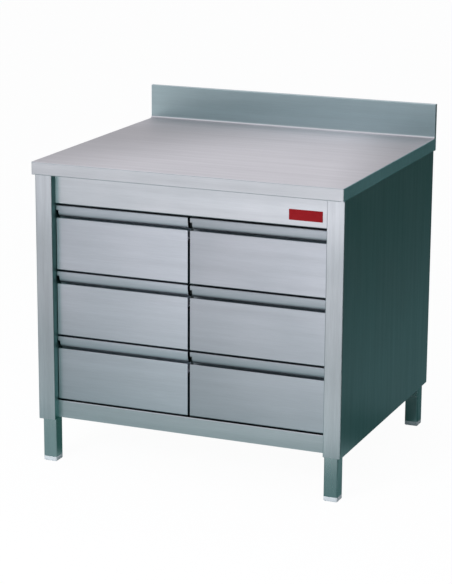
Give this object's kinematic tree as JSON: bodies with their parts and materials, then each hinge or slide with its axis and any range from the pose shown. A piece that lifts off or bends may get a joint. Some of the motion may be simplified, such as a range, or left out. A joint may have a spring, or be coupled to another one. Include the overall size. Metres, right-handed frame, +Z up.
{
  "type": "cabinet work table with drawers",
  "caption": "Stainless steel work table with an upstand, a closed cabinet of full-width finger-grip drawers in two columns, and square legs on adjustable feet.",
  "frame": {"origin": "on the floor, midway between the sides and midway between the front lip and the back of the upstand", "axes": "+X to the right of a person at the drawers, +Y to the back, +Z up; the drawers open towards -Y"},
  "size_m": [0.9, 0.8, 0.96],
  "materials": {
    "worktop_steel": "fine brushed along the width",
    "casing_steel": "satin brushed",
    "front_steel": "satin brushed along the width",
    "leg_steel": "satin brushed along the length",
    "inner_steel": "plain mill finish",
    "zinc": "bright zinc plated",
    "board": "raw chipboard",
    "red_plate": "plain red enamel",
    "foot_plastic": "pale grey moulded",
    "plug_nylon": "dark grey moulded"
  },
  "bodies": {
    "table": {"worktop": "worktop_steel", "worktop_board": "board", "worktop_ribs": "inner_steel", "fascia": "casing_steel", "name_plate": "red_plate", "base_rail": "casing_steel", "side_panel_left": "casing_steel", "side_panel_right": "casing_steel", "side_liner_left": "inner_steel", "side_liner_right": "inner_steel", "back_panel": "casing_steel", "floor_panel": "casing_steel", "centre_divider": "inner_steel", "leg_plugs": "plug_nylon", "leg_front_left": "leg_steel", "leg_front_right": "leg_steel", "leg_rear_left": "leg_steel", "leg_rear_right": "leg_steel", "cabinet_slides_left": "zinc", "cabinet_slides_right": "zinc"},
    "drawer_upper_left": {"front_upper_left": "front_steel", "grip_upper_left": "front_steel", "tray_upper_left": "inner_steel", "runners_upper_left": "zinc"},
    "slides_upper_left": {"slides_upper_left": "zinc"},
    "drawer_upper_right": {"front_upper_right": "front_steel", "grip_upper_right": "front_steel", "tray_upper_right": "inner_steel", "runners_upper_right": "zinc"},
    "slides_upper_right": {"slides_upper_right": "zinc"},
    "drawer_middle_left": {"front_middle_left": "front_steel", "grip_middle_left": "front_steel", "tray_middle_left": "inner_steel", "runners_middle_left": "zinc"},
    "slides_middle_left": {"slides_middle_left": "zinc"},
    "drawer_middle_right": {"front_middle_right": "front_steel", "grip_middle_right": "front_steel", "tray_middle_right": "inner_steel", "runners_middle_right": "zinc"},
    "slides_middle_right": {"slides_middle_right": "zinc"},
    "drawer_lower_left": {"front_lower_left": "front_steel", "grip_lower_left": "front_steel", "tray_lower_left": "inner_steel", "runners_lower_left": "zinc"},
    "slides_lower_left": {"slides_lower_left": "zinc"},
    "drawer_lower_right": {"front_lower_right": "front_steel", "grip_lower_right": "front_steel", "tray_lower_right": "inner_steel", "runners_lower_right": "zinc"},
    "slides_lower_right": {"slides_lower_right": "zinc"},
    "foot_front_left": {"foot_front_left": "foot_plastic", "stem_front_left": "zinc"},
    "foot_front_right": {"foot_front_right": "foot_plastic", "stem_front_right": "zinc"},
    "foot_rear_left": {"foot_rear_left": "foot_plastic", "stem_rear_left": "zinc"},
    "foot_rear_right": {"foot_rear_right": "foot_plastic", "stem_rear_right": "zinc"}
  },
  "joints": [
    {"name": "drawer_upper_left_travel", "type": "slide", "parent": "table", "child": "drawer_upper_left", "axis": [0, -1, 0], "range_m": [0, 0.56]},
    {"name": "slides_upper_left_travel", "type": "slide", "parent": "table", "child": "slides_upper_left", "axis": [0, -1, 0], "range_m": [0, 0.28]},
    {"name": "drawer_upper_right_travel", "type": "slide", "parent": "table", "child": "drawer_upper_right", "axis": [0, -1, 0], "range_m": [0, 0.56]},
    {"name": "slides_upper_right_travel", "type": "slide", "parent": "table", "child": "slides_upper_right", "axis": [0, -1, 0], "range_m": [0, 0.28]},
    {"name": "drawer_middle_left_travel", "type": "slide", "parent": "table", "child": "drawer_middle_left", "axis": [0, -1, 0], "range_m": [0, 0.56]},
    {"name": "slides_middle_left_travel", "type": "slide", "parent": "table", "child": "slides_middle_left", "axis": [0, -1, 0], "range_m": [0, 0.28]},
    {"name": "drawer_middle_right_travel", "type": "slide", "parent": "table", "child": "drawer_middle_right", "axis": [0, -1, 0], "range_m": [0, 0.56]},
    {"name": "slides_middle_right_travel", "type": "slide", "parent": "table", "child": "slides_middle_right", "axis": [0, -1, 0], "range_m": [0, 0.28]},
    {"name": "drawer_lower_left_travel", "type": "slide", "parent": "table", "child": "drawer_lower_left", "axis": [0, -1, 0], "range_m": [0, 0.56]},
    {"name": "slides_lower_left_travel", "type": "slide", "parent": "table", "child": "slides_lower_left", "axis": [0, -1, 0], "range_m": [0, 0.28]},
    {"name": "drawer_lower_right_travel", "type": "slide", "parent": "table", "child": "drawer_lower_right", "axis": [0, -1, 0], "range_m": [0, 0.56]},
    {"name": "slides_lower_right_travel", "type": "slide", "parent": "table", "child": "slides_lower_right", "axis": [0, -1, 0], "range_m": [0, 0.28]},
    {"name": "foot_front_left_height", "type": "slide", "parent": "table", "child": "foot_front_left", "axis": [0, 0, 1], "range_m": [-0.025, 0]},
    {"name": "foot_front_right_height", "type": "slide", "parent": "table", "child": "foot_front_right", "axis": [0, 0, 1], "range_m": [-0.025, 0]},
    {"name": "foot_rear_left_height", "type": "slide", "parent": "table", "child": "foot_rear_left", "axis": [0, 0, 1], "range_m": [-0.025, 0]},
    {"name": "foot_rear_right_height", "type": "slide", "parent": "table", "child": "foot_rear_right", "axis": [0, 0, 1], "range_m": [-0.025, 0]}
  ],
  "couplings": [
    {"joint": "slides_upper_left_travel", "follows": "drawer_upper_left_travel", "ratio": 0.5},
    {"joint": "slides_upper_right_travel", "follows": "drawer_upper_right_travel", "ratio": 0.5},
    {"joint": "slides_middle_left_travel", "follows": "drawer_middle_left_travel", "ratio": 0.5},
    {"joint": "slides_middle_right_travel", "follows": "drawer_middle_right_travel", "ratio": 0.5},
    {"joint": "slides_lower_left_travel", "follows": "drawer_lower_left_travel", "ratio": 0.5},
    {"joint": "slides_lower_right_travel", "follows": "drawer_lower_right_travel", "ratio": 0.5}
  ]
}
